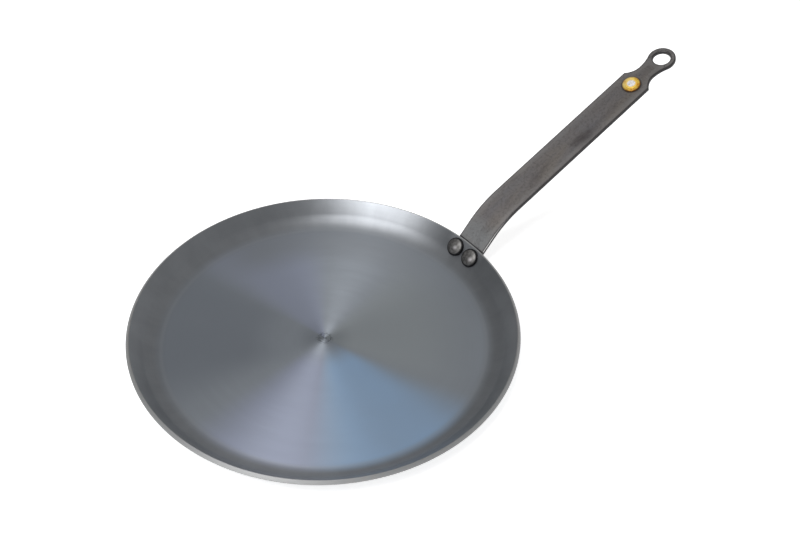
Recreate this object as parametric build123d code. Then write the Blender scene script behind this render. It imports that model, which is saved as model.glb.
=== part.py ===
from build123d import *
import math
import os

# Crepe pan: a low, flared pan pressed from one steel sheet, with a long flat strap handle riveted under its rim.
# A round push-in badge sits in a hole near the handle's end, and the handle ends in a ring to hang it by.
#
# Frame: millimetres, +Z up. The origin is on the pan's axis, at the underside that stands on the stove.
# The handle runs along +X in the plane y = 0.
# A slope is an angle in degrees above the horizontal, measured outwards along +X.

# Pan body
RIM_RADIUS = 130.0           # outer corner of the rim's cut edge
SHEET = 3.0                  # thickness of the sheet
COOKING_DEPTH = 13.6         # from the cooking floor up to the inner corner of the rim
WALL_SLOPE = 47.0
FLOOR_FILLET = 18.0          # inner radius where the floor turns up into the wall
RIM_ROUNDING = 0.6           # both corners of the cut edge

# Turned centre mark in the cooking floor
MARK_RADIUS = 4.0            # middle of the ring groove
MARK_LINE = 0.6              # width of the groove
MARK_DOT_RADIUS = 0.9
MARK_DEPTH = 0.25

# Rivets that hold the handle
RIVET_PITCH = 15.1           # between the two rivets
RIVET_DROP = 7.8             # from the rim's inner corner down the wall to a rivet's axis
RIVET_SHANK_RADIUS = 2.5
RIVET_FIT = 0.05             # radial clearance of a shank in its holes
RIVET_HEAD_RADIUS = 6.6
RIVET_HEAD_LAND = 0.9        # straight side under the dome of the head
RIVET_HEAD_DOME = 2.3
RIVET_TAIL_RADIUS = 3.8      # hammered end under the handle
RIVET_TAIL_LAND = 0.5
RIVET_TAIL_DOME = 1.2

# Handle strap
STRAP_THICKNESS = 3.0
STRAP_WIDTH = 24.2
STRAP_SEAT = 15.0            # length that lies against the wall, below the rim
STRAP_RISE = 26.8            # from the rim to the corner of the bend
BEND_RADIUS = 65.0           # upper face
GRIP_SLOPE = 21.5
GRIP_LENGTH = 135.2          # straight length after the bend
EASE_RADIUS = 260.0          # gentle curve that lets the ring droop
EASE_ANGLE = 3.0
STRAP_ROOT_ROUNDING = 6.0    # corners of the end under the rim
STRAP_EDGE_ROUNDING = 0.6

# Neck and hanging ring
RING_RUN = 10.4              # from the end of the gentle curve to the ring's centre
RING_RADIUS = 10.2
HANG_HOLE_RADIUS = 6.4
NECK_WIDTH = 13.9
NECK_RING_ARC = 31.0         # side arc between neck and ring
NECK_SHOULDER_ARC = 13.0     # side arc between neck and shoulder
SHOULDER_ROUNDING = 1.2
RING_HOLE_ROUNDING = 0.6

# Push-in badge
BADGE_SETBACK = 7.7          # from the end of the straight length back to the badge's centre
BADGE_RADIUS = 6.5
BADGE_HEIGHT = 1.2
BADGE_ROUNDING = 0.5
BADGE_STEM_RADIUS = 3.4
BADGE_FIT = 0.05             # radial clearance of the stem in its hole
BADGE_LIP_RADIUS = 4.6       # lip that holds it behind the strap
BADGE_LIP_HEIGHT = 1.2
BADGE_LIP_ROUNDING = 0.4
INLAY_RADIUS = 4.4
INLAY_DEPTH = 0.7            # seat cut into the badge's face
INLAY_FIT = 0.05
INLAY_DOME = 0.5             # how far the inlay's middle stands above the badge's face

CUT_OVERRUN = 5.0            # how far a cutting tool runs past what it cuts
FULL_TURN = 360.0


def along(point, slope, run):
    """The point that lies run further along a slope, as (x, z)."""
    angle = math.radians(slope)
    return (point[0] + run * math.cos(angle), point[1] + run * math.sin(angle))


def below(point, slope, depth):
    """The point that lies depth under a sloping surface, square to it."""
    return along(point, slope - 90, depth)


def around(point, slope, radius, angle):
    """The end of an arc that starts along a slope and turns downwards by an angle."""
    centre = below(point, slope, radius)
    return below(centre, slope - angle, -radius)


def frame_at(point, slope):
    """A plane on a sloping surface: its x runs up the slope, its y is +Y and its z points off the surface."""
    angle = math.radians(slope)
    return Plane(
        origin=(point[0], 0, point[1]),
        x_dir=(math.cos(angle), 0, math.sin(angle)),
        z_dir=(-math.sin(angle), 0, math.cos(angle)),
    )


# Places on the pan's section, as (radius, height)
rim_inner = (RIM_RADIUS - SHEET * math.sin(math.radians(WALL_SLOPE)), SHEET + COOKING_DEPTH)
rim_outer = below(rim_inner, WALL_SLOPE, SHEET)
fillet_reach = FLOOR_FILLET * math.tan(math.radians(WALL_SLOPE / 2))
floor_radius = rim_inner[0] - COOKING_DEPTH / math.tan(math.radians(WALL_SLOPE)) - fillet_reach
wall_start = (
    floor_radius + FLOOR_FILLET * math.sin(math.radians(WALL_SLOPE)),
    SHEET + FLOOR_FILLET * (1 - math.cos(math.radians(WALL_SLOPE))),
)
base_end = (floor_radius, 0)
floor_end = (floor_radius, SHEET)
wall_start_outer = below(wall_start, WALL_SLOPE, SHEET)

# Places along the strap's upper face, as (x, z)
# The upper face lies a little inside the line of the wall, so that the seat can be hollowed to hug the round wall.
bend_angle = WALL_SLOPE - GRIP_SLOPE
bend_reach = BEND_RADIUS * math.tan(math.radians(bend_angle / 2))
end_slope = GRIP_SLOPE - EASE_ANGLE
wall_roundness = (rim_outer[0] - STRAP_SEAT * math.cos(math.radians(WALL_SLOPE))) / math.sin(math.radians(WALL_SLOPE))
seat_hollow = wall_roundness - math.sqrt(wall_roundness**2 - (STRAP_WIDTH / 2) ** 2)
strap_line = below(rim_outer, WALL_SLOPE, -seat_hollow)
seat_end = along(strap_line, WALL_SLOPE, -STRAP_SEAT)
bend_start = along(strap_line, WALL_SLOPE, STRAP_RISE - bend_reach)
grip_start = around(bend_start, WALL_SLOPE, BEND_RADIUS, bend_angle)
ease_start = along(grip_start, GRIP_SLOPE, GRIP_LENGTH)
ease_end = around(ease_start, GRIP_SLOPE, EASE_RADIUS, EASE_ANGLE)
ring_centre = along(ease_end, end_slope, RING_RUN)
ring_tip = along(ring_centre, end_slope, RING_RADIUS)
badge_centre = along(ease_start, GRIP_SLOPE, -BADGE_SETBACK)

rivet_frame = frame_at(along(rim_inner, WALL_SLOPE, -RIVET_DROP), WALL_SLOPE)
ring_frame = frame_at(ring_centre, end_slope)
badge_frame = frame_at(badge_centre, GRIP_SLOPE)


def section_face(edges):
    """A face in the plane y = 0 from edges whose points are (x, z)."""
    return Plane.XZ * make_face(edges)


def disc(radius, low, high):
    """An upright cylinder between two heights."""
    return Pos(0, 0, low) * Cylinder(radius, high - low, align=(Align.CENTER, Align.CENTER, Align.MIN))


def button(radius, land, dome):
    """A round head that stands on z = 0: a short straight side with a spherical dome on it."""
    bulge = (radius * radius + dome * dome) / (2 * dome)
    top = land + dome
    edges = [
        Line((0, 0), (radius, 0)),
        Line((radius, 0), (radius, land)),
        RadiusArc((radius, land), (0, top), -bulge),
        Line((0, top), (0, 0)),
    ]
    return revolve(section_face(edges), Axis.Z, FULL_TURN)


def rivet_places():
    """The two rivet axes, each as a plane on the wall's inner face, from -Y to +Y."""
    return [rivet_frame * Pos(0, side * RIVET_PITCH / 2, 0) for side in (-1, 1)]


def rivet_holes():
    """Cutters for both rivet holes, long enough for the wall and the strap under it."""
    reach = SHEET + STRAP_THICKNESS + CUT_OVERRUN
    hole = disc(RIVET_SHANK_RADIUS + RIVET_FIT, -reach, CUT_OVERRUN)
    return [place * hole for place in rivet_places()]


def turn_middle(radius):
    """The middle of the turn between floor and wall, at this radius from the turn's centre."""
    half = math.radians(WALL_SLOPE / 2)
    return (
        floor_radius + radius * math.sin(half),
        SHEET + FLOOR_FILLET - radius * math.cos(half),
    )


def pan_sheet():
    """The pan before it is drilled: one sheet turned up into a low flared wall, with a round-cornered cut edge."""
    outline = section_face(
        [
            Line((0, 0), base_end),
            ThreePointArc(base_end, turn_middle(FLOOR_FILLET + SHEET), wall_start_outer),
            Line(wall_start_outer, rim_outer),
            Line(rim_outer, rim_inner),
            Line(rim_inner, wall_start),
            ThreePointArc(wall_start, turn_middle(FLOOR_FILLET), floor_end),
            Line(floor_end, (0, SHEET)),
            Line((0, SHEET), (0, 0)),
        ]
    )
    rim_corners = outline.vertices().sort_by(Axis.X)[-2:]
    outline = fillet(rim_corners, min(RIM_ROUNDING, SHEET / 3))
    return revolve(outline, Axis.Z, FULL_TURN)


def centre_mark():
    """The cutter for the turned mark: a ring groove and a dot, sunk into the cooking floor."""
    bottom = SHEET - MARK_DEPTH
    top = SHEET + CUT_OVERRUN
    outer = disc(MARK_RADIUS + MARK_LINE / 2, bottom, top)
    inner = disc(MARK_RADIUS - MARK_LINE / 2, bottom, top)
    return outer - inner + disc(MARK_DOT_RADIUS, bottom, top)


def pan_body(sheet):
    """The pan itself: the sheet with its centre mark and its rivet holes."""
    body = sheet - centre_mark()
    for hole in rivet_holes():
        body -= hole
    return body


def strap_side(depth):
    """The strap's side view at this depth under its upper face: its stations and edges, from root to tip."""
    stations = [
        below(seat_end, WALL_SLOPE, depth),
        below(bend_start, WALL_SLOPE, depth),
        below(grip_start, GRIP_SLOPE, depth),
        below(ease_start, GRIP_SLOPE, depth),
        below(ease_end, end_slope, depth),
        below(ring_tip, end_slope, depth),
    ]
    return stations, [
        Line(stations[0], stations[1]),
        RadiusArc(stations[1], stations[2], BEND_RADIUS - depth),
        Line(stations[2], stations[3]),
        RadiusArc(stations[3], stations[4], EASE_RADIUS - depth),
        Line(stations[4], stations[5]),
    ]


def strap_blank():
    """The bent strap before its outline is cut: full width, from the root to the ring's tip."""
    top_stations, top = strap_side(0)
    low_stations, low = strap_side(STRAP_THICKNESS)
    ends = [
        Line(top_stations[0], low_stations[0]),
        Line(top_stations[-1], low_stations[-1]),
    ]
    half_width = max(STRAP_WIDTH / 2, RING_RADIUS) + CUT_OVERRUN
    return extrude(section_face(top + low + ends), half_width, both=True)


def strap_outline():
    """The strap's outline, seen square to the ring: straight sides, shoulders, neck and ring."""
    neck_half = NECK_WIDTH / 2
    ring_arc_up = neck_half + NECK_RING_ARC
    ring_gap = RING_RADIUS + NECK_RING_ARC
    neck_x = -math.sqrt(ring_gap**2 - ring_arc_up**2)
    touch_share = RING_RADIUS / ring_gap
    touch = (neck_x * touch_share, ring_arc_up * touch_share)

    half_width = STRAP_WIDTH / 2
    shoulder_up = NECK_SHOULDER_ARC + neck_half - half_width
    shoulder_x = neck_x - math.sqrt(NECK_SHOULDER_ARC**2 - shoulder_up**2)
    root_x = seat_end[0] - ring_centre[0] + seat_end[1] - ring_centre[1]

    corners = [(root_x, half_width), (shoulder_x, half_width), (neck_x, neck_half), touch]
    mirrored = [(x, -y) for x, y in corners]
    edges = [
        Line(corners[0], corners[1]),
        RadiusArc(corners[1], corners[2], -NECK_SHOULDER_ARC),
        RadiusArc(corners[2], corners[3], -NECK_RING_ARC),
        ThreePointArc(touch, (RING_RADIUS, 0), mirrored[3]),
        RadiusArc(mirrored[3], mirrored[2], -NECK_RING_ARC),
        RadiusArc(mirrored[2], mirrored[1], -NECK_SHOULDER_ARC),
        Line(mirrored[1], mirrored[0]),
        Line(mirrored[0], corners[0]),
    ]
    face = make_face(edges)
    shoulders = face.vertices().sort_by(Axis.X)[2:4]
    return fillet(shoulders, SHOULDER_ROUNDING)


def strap_hole(plane, radius):
    """The cutter for a round hole square through the strap."""
    return plane * disc(radius, -STRAP_THICKNESS - CUT_OVERRUN, CUT_OVERRUN)


def outline_edges(strap):
    """One edge of the strap's upper outline and one of its lower outline. Rounding runs on from them all the way."""
    edges = []
    for depth in (0, STRAP_THICKNESS):
        x, z = below(around(bend_start, WALL_SLOPE, BEND_RADIUS, bend_angle / 2), WALL_SLOPE - bend_angle / 2, depth)
        edges.append(strap.edges().sort_by_distance((x, STRAP_WIDTH / 2, z))[0])
    return edges


def handle(sheet):
    """The handle: a bent flat strap with a hollowed seat, rounded edges and its rivet, badge and hanging holes."""
    outline = ring_frame * strap_outline()
    strap = strap_blank() & extrude(outline, ring_centre[0], both=True)

    seat_normal = Axis((0, 0, 0), frame_at(seat_end, WALL_SLOPE).z_dir)
    strap = fillet(strap.edges().filter_by(seat_normal), STRAP_ROOT_ROUNDING)
    strap = fillet(outline_edges(strap), min(STRAP_EDGE_ROUNDING, STRAP_THICKNESS / 3))

    strap -= strap_hole(ring_frame, HANG_HOLE_RADIUS)
    circles = strap.edges().filter_by(GeomType.CIRCLE)
    strap = fillet(circles.sort_by_distance(ring_frame.origin)[:2], min(RING_HOLE_ROUNDING, STRAP_THICKNESS / 3))

    strap -= strap_hole(badge_frame, BADGE_STEM_RADIUS + BADGE_FIT)
    for hole in rivet_holes():
        strap -= hole
    return strap - sheet


def rivet(place, body, strap):
    """One rivet: a domed head inside the pan, a shank, and a flatter hammered end under the strap."""
    shank_end = seat_hollow - SHEET - STRAP_THICKNESS
    head = button(RIVET_HEAD_RADIUS, RIVET_HEAD_LAND, RIVET_HEAD_DOME)
    tail = Pos(0, 0, shank_end) * Rot(FULL_TURN / 2, 0, 0) * button(RIVET_TAIL_RADIUS, RIVET_TAIL_LAND, RIVET_TAIL_DOME)
    shank = disc(RIVET_SHANK_RADIUS, shank_end, 0)
    return place * (head + shank + tail) - body - strap


def badge_plug():
    """The badge: a round-edged head with a seat in its face, a stem through the strap and a lip behind it."""
    head = disc(BADGE_RADIUS, 0, BADGE_HEIGHT)
    head = fillet(head.edges().group_by(Axis.Z)[-1], BADGE_ROUNDING)
    stem = disc(BADGE_STEM_RADIUS, -STRAP_THICKNESS, 0)
    lip = disc(BADGE_LIP_RADIUS, -STRAP_THICKNESS - BADGE_LIP_HEIGHT, -STRAP_THICKNESS)
    lip = fillet(lip.edges().group_by(Axis.Z)[0], BADGE_LIP_ROUNDING)
    seat = disc(INLAY_RADIUS, BADGE_HEIGHT - INLAY_DEPTH, BADGE_HEIGHT + CUT_OVERRUN)
    return badge_frame * (head + stem + lip - seat)


def badge_inlay():
    """The plain domed disc that is set into the badge's face."""
    inlay = button(INLAY_RADIUS - INLAY_FIT, INLAY_DEPTH, INLAY_DOME)
    return badge_frame * Pos(0, 0, BADGE_HEIGHT - INLAY_DEPTH) * inlay


def main():
    """Builds every piece and writes each to its own file."""
    sheet = pan_sheet()
    body = pan_body(sheet)
    strap = handle(sheet)
    right_place, left_place = rivet_places()
    pieces = {
        "pan_body": body,
        "handle": strap,
        "rivet_right": rivet(right_place, body, strap),
        "rivet_left": rivet(left_place, body, strap),
        "badge_plug": badge_plug(),
        "badge_inlay": badge_inlay(),
    }
    os.makedirs("parts", exist_ok=True)
    for name, piece in pieces.items():
        export_step(piece, f"parts/{name}.step")


main()
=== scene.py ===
import logging
import math
from dataclasses import dataclass
from enum import Enum

import bmesh
import bpy
from mathutils import Matrix, Vector
from mathutils.bvhtree import BVHTree


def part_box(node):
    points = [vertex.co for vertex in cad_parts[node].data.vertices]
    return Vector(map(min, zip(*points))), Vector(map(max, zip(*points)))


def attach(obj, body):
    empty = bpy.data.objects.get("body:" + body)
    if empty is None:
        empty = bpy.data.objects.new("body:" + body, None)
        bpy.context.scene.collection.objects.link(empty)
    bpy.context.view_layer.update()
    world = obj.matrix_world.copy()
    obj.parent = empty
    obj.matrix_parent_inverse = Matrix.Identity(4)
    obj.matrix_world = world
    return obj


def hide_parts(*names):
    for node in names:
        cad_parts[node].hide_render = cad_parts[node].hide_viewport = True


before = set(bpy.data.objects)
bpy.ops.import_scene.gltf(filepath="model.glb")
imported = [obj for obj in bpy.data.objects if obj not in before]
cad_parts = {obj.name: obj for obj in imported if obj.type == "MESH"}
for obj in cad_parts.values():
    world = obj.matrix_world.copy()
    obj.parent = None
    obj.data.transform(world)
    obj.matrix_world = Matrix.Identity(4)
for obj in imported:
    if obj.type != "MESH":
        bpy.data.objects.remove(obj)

# A crepe pan: its turned dish, its riveted strap handle with a ring to hang it by, and its round badge.
# Lengths are in metres and angles in radians. The pan's axis is Z and the handle runs along +X.

LOG = logging.getLogger("crepe_pan")
MM = 0.001
BODY = "root"
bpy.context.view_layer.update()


def degrees(angle: float) -> float:
    """Turns an angle in degrees into radians."""
    return math.radians(angle)


MERGE_DISTANCE = 0.0005 * MM
SHARP_EDGE = degrees(32.0)
TURNED_PLACE = "turned_place"
QUARTER_TURN = degrees(90.0)
HALF = 0.5

Colour = tuple[float, float, float, float]


class Num:
    """A number that flows through a node tree, with the usual arithmetic."""

    def __init__(self, graph: "Graph", source: bpy.types.NodeSocket) -> None:
        """Holds an output socket.

        Args:
            graph: The tree that the number flows through.
            source: The socket that gives the number.
        """
        self.graph = graph
        self.source = source

    def apply(self, operation: str, *others: "Num | float") -> "Num":
        """Feeds this number into a Math node.

        Args:
            operation: The Math node's operation.
            others: The operation's other numbers.

        Returns:
            The node's result.
        """
        node = self.graph.node("ShaderNodeMath", operation=operation)
        for place, value in enumerate((self, *others)):
            self.graph.feed(node.inputs[place], value)
        return Num(self.graph, node.outputs[0])

    def __add__(self, other: "Num | float") -> "Num":
        """Adds another number."""
        return self.apply("ADD", other)

    def __sub__(self, other: "Num | float") -> "Num":
        """Takes another number away."""
        return self.apply("SUBTRACT", other)

    def __mul__(self, other: "Num | float") -> "Num":
        """Multiplies by another number."""
        return self.apply("MULTIPLY", other)

    def __truediv__(self, other: "Num | float") -> "Num":
        """Divides by another number."""
        return self.apply("DIVIDE", other)

    def __neg__(self) -> "Num":
        """Turns the number's sign."""
        return self.apply("MULTIPLY", -1.0)

    def sin(self) -> "Num":
        """The sine of the number as an angle."""
        return self.apply("SINE")

    def cos(self) -> "Num":
        """The cosine of the number as an angle."""
        return self.apply("COSINE")

    def tan(self) -> "Num":
        """The tangent of the number as an angle."""
        return self.apply("TANGENT")


class Graph:
    """A node tree under construction."""

    def __init__(self, tree: bpy.types.NodeTree) -> None:
        """Takes a tree to build in.

        Args:
            tree: The empty tree.
        """
        self.tree = tree

    def node(self, kind: str, **settings: object) -> bpy.types.Node:
        """Adds a node.

        Args:
            kind: The node's type.
            settings: Values for the node's own properties.

        Returns:
            The new node.
        """
        made = self.tree.nodes.new(kind)
        for name, value in settings.items():
            setattr(made, name, value)
        return made

    def feed(self, socket: bpy.types.NodeSocket, value: object) -> None:
        """Links a socket to a source, or sets its value.

        Args:
            socket: The input socket.
            value: A number of the tree, an output socket or a plain value.
        """
        if isinstance(value, Num):
            value = value.source
        if isinstance(value, bpy.types.NodeSocket):
            self.tree.links.new(value, socket)
        else:
            socket.default_value = value

    def call(self, kind: str, inputs: dict[str, object], **settings: object) -> bpy.types.Node:
        """Adds a node and feeds its inputs by name.

        Args:
            kind: The node's type.
            inputs: What each named input gets.
            settings: Values for the node's own properties.

        Returns:
            The new node.
        """
        made = self.node(kind, **settings)
        for name, value in inputs.items():
            socket = next(one for one in made.inputs if one.name == name and one.enabled)
            self.feed(socket, value)
        return made

    def vector(self, x: Num | float, y: Num | float, z: Num | float) -> bpy.types.NodeSocket:
        """Joins three numbers into a vector."""
        return self.call("ShaderNodeCombineXYZ", {"X": x, "Y": y, "Z": z}).outputs[0]

    def parts(self, source: bpy.types.NodeSocket) -> tuple[Num, Num, Num]:
        """Splits a vector into its three numbers."""
        made = self.call("ShaderNodeSeparateXYZ", {"Vector": source})
        return tuple(Num(self, one) for one in made.outputs)

    def remap(self, value: Num, low: float, high: float, to_low: float, to_high: float) -> Num:
        """Maps one range of a number smoothly onto another, and holds it at both ends."""
        inputs = {"Value": value, "From Min": low, "From Max": high, "To Min": to_low, "To Max": to_high}
        made = self.call("ShaderNodeMapRange", inputs, interpolation_type="SMOOTHSTEP")
        return Num(self, made.outputs[0])

    def seen(self) -> Num:
        """Gives 1 where the surface is seen, straight or in metal or glass, and 0 where it only lights."""
        path = self.node("ShaderNodeLightPath")
        rays = [Num(self, path.outputs[f"Is {kind} Ray"]) for kind in ("Camera", "Glossy", "Transmission")]
        return (rays[0] + rays[1] + rays[2]).apply("MINIMUM", 1.0)


@dataclass
class Corner:
    """A corner of a turned section, with the radius that rounds it."""

    radius: Num | float
    height: Num | float
    rounding: Num | float = 0.0
    steps: int = 1


class ShapeGraph(Graph):
    """A Geometry Nodes tree with named sizes, which ends in Realize Instances and Set Material."""

    def __init__(self, name: str) -> None:
        """Starts the tree.

        Args:
            name: The tree's name.
        """
        super().__init__(bpy.data.node_groups.new(name, "GeometryNodeTree"))
        self.tree.interface.new_socket("Shape", in_out="OUTPUT", socket_type="NodeSocketGeometry")
        self.entry = self.node("NodeGroupInput")
        self.values: dict[str, object] = {}

    def named_input(self, name: str, value: object, kind: str) -> bpy.types.NodeSocket:
        """Adds a named input to the tree.

        Args:
            name: The input's name.
            value: What the modifier gives it.
            kind: The socket's type.

        Returns:
            The socket inside the tree.
        """
        socket = self.tree.interface.new_socket(name, in_out="INPUT", socket_type=kind)
        self.values[socket.identifier] = value
        return next(one for one in self.entry.outputs if one.identifier == socket.identifier)

    def size(self, name: str, value: float) -> Num:
        """Adds a named size to the tree, as a number."""
        return Num(self, self.named_input(name, value, "NodeSocketFloat"))

    def sizes_of(self, holder: object, *names: str) -> list[Num]:
        """Adds fields of a dataclass to the tree as named sizes.

        Args:
            holder: The dataclass.
            names: The names of its fields.

        Returns:
            The sizes, in the same order.
        """
        return [self.size(name.replace("_", " "), getattr(holder, name)) for name in names]

    def pick(self, index: bpy.types.NodeSocket, items: list[object], kind: str) -> bpy.types.NodeSocket:
        """Chooses among items by an index.

        Args:
            index: The index.
            items: One item for each index.
            kind: The items' type.

        Returns:
            The chosen item.
        """
        switch = self.node("GeometryNodeIndexSwitch", data_type=kind)
        while len(switch.index_switch_items) < len(items):
            switch.index_switch_items.new()
        self.feed(switch.inputs["Index"], index)
        for place, item in enumerate(items):
            self.feed(switch.inputs[place + 1], item)
        return switch.outputs[0]

    def section(self, corners: list[Corner]) -> bpy.types.NodeSocket:
        """Draws a section in the plane y = 0, from corner to corner, each rounded by its own radius.

        Args:
            corners: The section's corners, in order.

        Returns:
            The section, as a curve.
        """
        index = self.node("GeometryNodeInputIndex").outputs[0]
        line = self.node("GeometryNodeCurvePrimitiveLine").outputs[0]
        drawn = self.call("GeometryNodeResampleCurve", {"Curve": line, "Count": len(corners)}).outputs[0]
        places = [self.vector(one.radius, 0.0, one.height) for one in corners]
        drawn = self.call(
            "GeometryNodeSetPosition", {"Geometry": drawn, "Position": self.pick(index, places, "VECTOR")}
        ).outputs[0]
        rounding = self.pick(index, [one.rounding for one in corners], "FLOAT")
        steps = self.pick(index, [one.steps for one in corners], "INT")
        inputs = {"Curve": drawn, "Radius": rounding, "Count": steps}
        return self.call("GeometryNodeFilletCurve", inputs, mode="POLY").outputs[0]

    def turn(self, section: bpy.types.NodeSocket, segments: int) -> bpy.types.NodeSocket:
        """Turns a section all the way round the Z axis.

        Args:
            section: The section, as a curve.
            segments: How many faces go round.

        Returns:
            The turned mesh, closed at its poles and along its seam, with its faces outward.
        """
        around = self.named_input("segments", segments, "NodeSocketInt")
        stations = self.call(
            "GeometryNodeAttributeDomainSize", {"Geometry": section}, component="CURVE"
        ).outputs["Point Count"]
        rows = Num(self, around) + 1.0
        inputs = {"Vertices X": stations, "Vertices Y": rows}
        grid = self.call("GeometryNodeMeshGrid", inputs).outputs["Mesh"]
        index = Num(self, self.node("GeometryNodeInputIndex").outputs[0])
        station = (index / rows).apply("FLOOR")
        turned = (index - station * rows) * math.tau / around
        sampled = self.node("GeometryNodeSampleIndex", data_type="FLOAT_VECTOR", domain="POINT")
        self.feed(sampled.inputs["Geometry"], section)
        self.feed(sampled.inputs["Value"], self.node("GeometryNodeInputPosition").outputs[0])
        self.feed(sampled.inputs["Index"], station)
        radius, _, height = self.parts(sampled.outputs["Value"])
        place = self.vector(radius * turned.cos(), radius * turned.sin(), height)
        shaped = self.call("GeometryNodeSetPosition", {"Geometry": grid, "Position": place}).outputs[0]
        note = self.node("GeometryNodeStoreNamedAttribute", data_type="FLOAT_VECTOR", domain="POINT")
        self.feed(note.inputs["Geometry"], shaped)
        self.feed(note.inputs["Name"], TURNED_PLACE)
        self.feed(note.inputs["Value"], self.vector(radius, turned, height))
        inputs = {"Geometry": note.outputs[0], "Distance": MERGE_DISTANCE}
        merged = self.call("GeometryNodeMergeByDistance", inputs).outputs[0]
        return self.call("GeometryNodeFlipFaces", {"Mesh": merged}).outputs[0]

    def smooth(self, shape: bpy.types.NodeSocket) -> bpy.types.NodeSocket:
        """Shades a mesh smoothly but for its sharp edges."""
        inputs = {"Geometry": shape, "Shade Smooth": True}
        smoothed = self.call("GeometryNodeSetShadeSmooth", inputs, domain="FACE").outputs[0]
        bend = Num(self, self.node("GeometryNodeInputMeshEdgeAngle").outputs["Unsigned Angle"])
        sharp = bend.apply("GREATER_THAN", SHARP_EDGE)
        inputs = {"Geometry": smoothed, "Selection": sharp, "Shade Smooth": False}
        return self.call("GeometryNodeSetShadeSmooth", inputs, domain="EDGE").outputs[0]

    def move(
        self, shape: bpy.types.NodeSocket, place: bpy.types.NodeSocket, slope: Num
    ) -> bpy.types.NodeSocket:
        """Tilts a mesh up along X by a slope and puts its origin at a place.

        Args:
            shape: The mesh.
            place: Where its origin goes.
            slope: How steeply its X axis rises.

        Returns:
            The moved mesh.
        """
        tilt = self.vector(0.0, -slope, 0.0)
        inputs = {"Geometry": shape, "Translation": place, "Rotation": tilt}
        return self.call("GeometryNodeTransform", inputs).outputs[0]

    def pair(self, shape: bpy.types.NodeSocket, pitch: Num) -> bpy.types.NodeSocket:
        """Puts two copies of a mesh side by side across Y.

        Args:
            shape: The mesh.
            pitch: The distance between the copies.

        Returns:
            The two instances.
        """
        inputs = {
            "Count": 2,
            "Start Location": self.vector(0.0, pitch * -HALF, 0.0),
            "Offset": self.vector(0.0, pitch, 0.0),
        }
        points = self.call("GeometryNodeMeshLine", inputs).outputs[0]
        return self.call("GeometryNodeInstanceOnPoints", {"Points": points, "Instance": shape}).outputs[0]

    def grow(self, name: str, shape: bpy.types.NodeSocket, finish: bpy.types.Material) -> bpy.types.Object:
        """Ends the tree, runs it and keeps its result as a plain mesh.

        Args:
            name: The piece's name.
            shape: The tree's mesh.
            finish: The piece's material.

        Returns:
            The piece.
        """
        coat = self.named_input("Finish", finish, "NodeSocketMaterial")
        realised = self.call("GeometryNodeRealizeInstances", {"Geometry": shape}).outputs[0]
        coated = self.call("GeometryNodeSetMaterial", {"Geometry": realised, "Material": coat}).outputs[0]
        self.feed(self.node("NodeGroupOutput").inputs[0], coated)
        piece = add_object(name, bpy.data.meshes.new(name))
        modifier = piece.modifiers.new(name, "NODES")
        modifier.node_group = self.tree
        for identifier, value in self.values.items():
            modifier[identifier] = value
        evaluated = piece.evaluated_get(bpy.context.evaluated_depsgraph_get())
        grown = bpy.data.meshes.new_from_object(evaluated)
        piece.modifiers.remove(modifier)
        piece.data = grown
        grown.name = name
        if grown.materials[0] is None:
            grown.materials.pop(index=0)
        return piece


def add_object(name: str, content: bpy.types.ID) -> bpy.types.Object:
    """Adds an object to the scene.

    Args:
        name: The object's name.
        content: Its mesh, lamp or camera.

    Returns:
        The object, at the origin.
    """
    added = bpy.data.objects.new(name, content)
    bpy.context.scene.collection.objects.link(added)
    return added


class FinishGraph(Graph):
    """A material's node tree, with one Principled shader."""

    def __init__(self, name: str) -> None:
        """Starts the material.

        Args:
            name: The material's name.
        """
        self.material = bpy.data.materials.new(name)
        self.material.use_nodes = True
        super().__init__(self.material.node_tree)
        self.shader = self.tree.nodes["Principled BSDF"]

    def place(self) -> bpy.types.NodeSocket:
        """The point's place on the object, in metres."""
        return self.node("ShaderNodeTexCoord").outputs["Object"]

    def noted(self, name: str) -> bpy.types.NodeSocket:
        """The vector noted on the mesh under a name."""
        return self.node("ShaderNodeAttribute", attribute_name=name).outputs["Vector"]

    def blend(self, amount: Num, first: object, second: object) -> bpy.types.NodeSocket:
        """Mixes two colours.

        Args:
            amount: How much of the second colour there is.
            first: The colour at 0.
            second: The colour at 1.

        Returns:
            The mixed colour.
        """
        mixer = self.node("ShaderNodeMix", data_type="RGBA")
        self.feed(mixer.inputs["Factor"], amount)
        self.feed(mixer.inputs[6], first)
        self.feed(mixer.inputs[7], second)
        return mixer.outputs[2]

    def bump(self, height: Num, depth: float) -> None:
        """Roughens the surface.

        Args:
            height: The relief, from 0 to 1.
            depth: The relief's real depth.
        """
        made = self.call("ShaderNodeBump", {"Height": height, "Strength": 1.0, "Distance": depth})
        self.feed(self.shader.inputs["Normal"], made.outputs[0])


@dataclass(frozen=True)
class Ramp:
    """A smooth change of one number over a range of another."""

    start: float
    end: float
    first: float = 0.0
    last: float = 1.0

    def of(self, value: Num) -> Num:
        """Reads the ramp at a number."""
        return value.graph.remap(value, self.start, self.end, self.first, self.last)


@dataclass(frozen=True)
class Cloud:
    """Cloud noise: how fine it is, how many finer layers lie on it and how strong they are."""

    scale: float
    layers: float = 3.0
    rough: float = 0.55

    def at(self, graph: FinishGraph, source: bpy.types.NodeSocket) -> Num:
        """Samples the noise.

        Args:
            graph: The material's tree.
            source: Where it is sampled.

        Returns:
            A number round one half.
        """
        inputs = {"Vector": source, "Scale": self.scale, "Detail": self.layers, "Roughness": self.rough}
        return Num(graph, graph.call("ShaderNodeTexNoise", inputs).outputs[0])


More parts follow.
